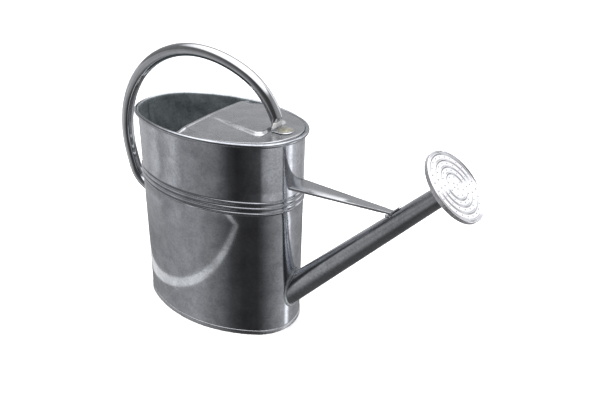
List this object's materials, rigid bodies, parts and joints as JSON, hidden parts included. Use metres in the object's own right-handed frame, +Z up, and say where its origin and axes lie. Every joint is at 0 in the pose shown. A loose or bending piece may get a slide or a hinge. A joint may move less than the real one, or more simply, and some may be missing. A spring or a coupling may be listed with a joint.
{
  "type": "watering can",
  "caption": "Oval galvanised steel watering can with a half hood, a hoop handle, a raked strutted spout and a round rose that pulls off.",
  "frame": {"origin": "the middle of the oval foot, on the ground", "axes": "+X from the middle of the body towards the spout, +Z up, +Y to the left of someone looking along the spout"},
  "size_m": [0.5675, 0.1726, 0.397],
  "materials": {
    "body_sheet": "hot-dip galvanised sheet, satin, fine mottled spangle",
    "base_sheet": "hot-dip galvanised sheet, satin",
    "hood_sheet": "hot-dip galvanised sheet, satin, slightly blotchy",
    "handle_tube": "bright galvanised tube, nearly polished",
    "spout_sheet": "hot-dip galvanised sheet, satin",
    "strut_strip": "hot-dip galvanised strip, satin",
    "rose_sheet": "bright zinc, satin",
    "rose_face_sheet": "bright zinc, nearly white",
    "wire": "galvanised wire",
    "weld": "zinc-dipped weld, dull, slightly yellow",
    "solder": "dull solder, wiped"
  },
  "bodies": {
    "can": {"body_shell": "body_sheet", "rim_wire": "wire", "base_plate": "base_sheet", "base_solder": "solder", "hood": "hood_sheet", "handle": "handle_tube", "handle_front_weld": "weld", "handle_rear_weld": "weld", "spout": "spout_sheet", "spout_solder": "solder", "strut": "strut_strip", "strut_root_solder": "solder", "strut_tip_solder": "solder"},
    "rose": {"rose_socket": "rose_sheet", "rose_back": "rose_sheet", "rose_face": "rose_face_sheet", "rose_solder": "solder"}
  },
  "joints": [
    {"name": "rose_pull", "type": "slide", "parent": "can", "child": "rose", "axis": [0.6858, 0, 0.7278], "range_m": [0, 0.04]}
  ]
}
